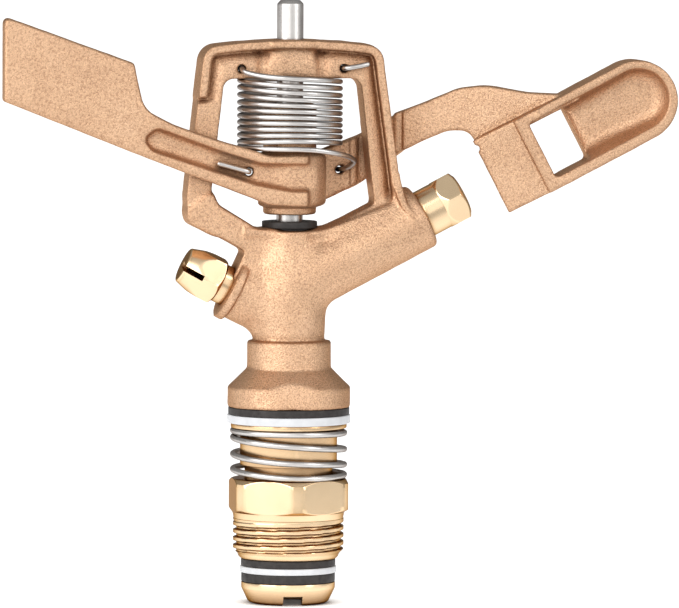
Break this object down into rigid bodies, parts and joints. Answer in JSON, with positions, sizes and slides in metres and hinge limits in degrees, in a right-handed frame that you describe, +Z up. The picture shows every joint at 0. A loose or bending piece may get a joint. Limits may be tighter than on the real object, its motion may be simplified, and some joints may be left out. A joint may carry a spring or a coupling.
{
  "type": "impact sprinkler",
  "caption": "Brass impact sprinkler that turns on a threaded inlet: sprung swinging arm with spoon and blade, angled range nozzle, spreader nozzle and cast yoke.",
  "frame": {"origin": "on the rotation axis at the underside of the inlet hexagon, the top of the pipe thread", "axes": "+Z up along the rotation axis, +X towards the range nozzle and the spoon, +Y away from the side that the spoon's bowl faces"},
  "size_m": [0.1633, 0.0312, 0.1438],
  "materials": {
    "cast_bronze": "sand-cast bronze, fine grain, satin",
    "machined_brass": "turned and milled brass, bright",
    "stainless": "drawn stainless steel",
    "black_rubber": "matt black rubber",
    "ptfe": "white PTFE"
  },
  "bodies": {
    "inlet": {"bearing_nipple": "machined_brass", "bearing_spring": "stainless"},
    "thrust_collar": {"spring_collar": "machined_brass", "upper_ptfe_washer": "ptfe"},
    "head": {"upper_rubber_washer": "black_rubber", "bearing_tube": "machined_brass", "lower_rubber_washer": "black_rubber", "lower_ptfe_washer": "ptfe", "flange_rubber_washer": "black_rubber", "body_casting": "cast_bronze", "stream_straightener": "machined_brass", "range_nozzle": "machined_brass", "spreader_nozzle": "machined_brass", "fulcrum_pin": "stainless", "arm_seat_washer": "black_rubber", "arm_thrust_washer": "black_rubber", "arm_spring": "stainless"},
    "arm": {"arm_casting": "cast_bronze", "lower_arm_bushing": "stainless", "upper_arm_bushing": "stainless"}
  },
  "joints": [
    {"name": "head_press", "type": "slide", "parent": "inlet", "child": "thrust_collar", "axis": [0, 0, 1], "range_m": [-0.0025, 0], "stiffness_N_per_m": 3000, "springref_m": 0.01, "deforming": ["bearing_spring"]},
    {"name": "head_spin", "type": "hinge", "parent": "thrust_collar", "child": "head", "pos_m": [0, 0, 0.0231], "axis": [0, 0, 1], "continuous": true},
    {"name": "arm_swing", "type": "hinge", "parent": "head", "child": "arm", "pos_m": [0, 0, 0.0715], "axis": [0, 0, 1], "range_deg": [0, 120], "stiffness_Nm_per_rad": 0.025, "springref_deg": -34.38, "deforming": ["arm_spring"]}
  ]
}
